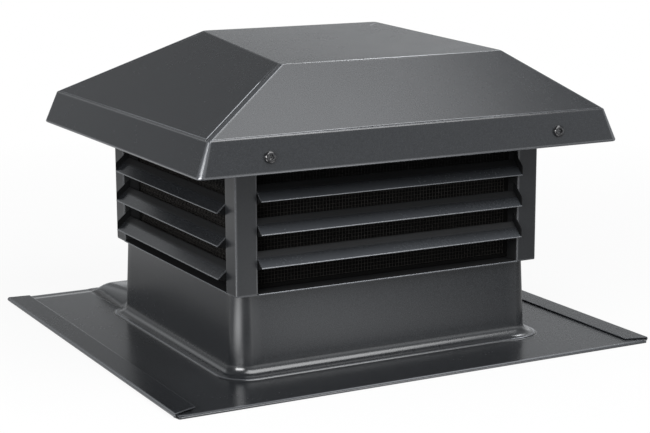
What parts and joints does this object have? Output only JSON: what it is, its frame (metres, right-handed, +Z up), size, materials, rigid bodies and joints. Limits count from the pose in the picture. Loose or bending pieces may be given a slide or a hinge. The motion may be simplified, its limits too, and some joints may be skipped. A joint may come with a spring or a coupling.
{
  "type": "roof vent",
  "caption": "Square sheet-steel roof vent: hipped hood over a louvred, screened box on a drawn collar and flashing pan.",
  "frame": {"origin": "centre of the flashing pan, on the plane that the pan's underside rests on", "axes": "+X to the right across the roof, +Y up the roof towards the back saddle, +Z up through the hood"},
  "size_m": [0.48, 0.44, 0.285],
  "materials": {
    "flashing_steel": "satin anthracite powder coat",
    "louvre_steel": "satin anthracite powder coat",
    "hood_steel": "satin anthracite powder coat",
    "insect_screen": "dark coated woven wire"
  },
  "bodies": {
    "root": {"base_pan": "flashing_steel", "sill_front": "louvre_steel", "sill_back": "louvre_steel", "sill_left": "louvre_steel", "sill_right": "louvre_steel", "post_front_left": "louvre_steel", "post_front_right": "louvre_steel", "post_back_left": "louvre_steel", "post_back_right": "louvre_steel", "blade_front_1": "louvre_steel", "blade_front_2": "louvre_steel", "blade_front_3": "louvre_steel", "blade_back_1": "louvre_steel", "blade_back_2": "louvre_steel", "blade_back_3": "louvre_steel", "blade_left_1": "louvre_steel", "blade_left_2": "louvre_steel", "blade_left_3": "louvre_steel", "blade_right_1": "louvre_steel", "blade_right_2": "louvre_steel", "blade_right_3": "louvre_steel", "screen_front": "insect_screen", "screen_back": "insect_screen", "screen_left": "insect_screen", "screen_right": "insect_screen", "header_front": "louvre_steel", "header_back": "louvre_steel", "header_left": "louvre_steel", "header_right": "louvre_steel", "strap_left": "louvre_steel", "strap_right": "louvre_steel", "hood": "hood_steel"}
  },
  "joints": []
}
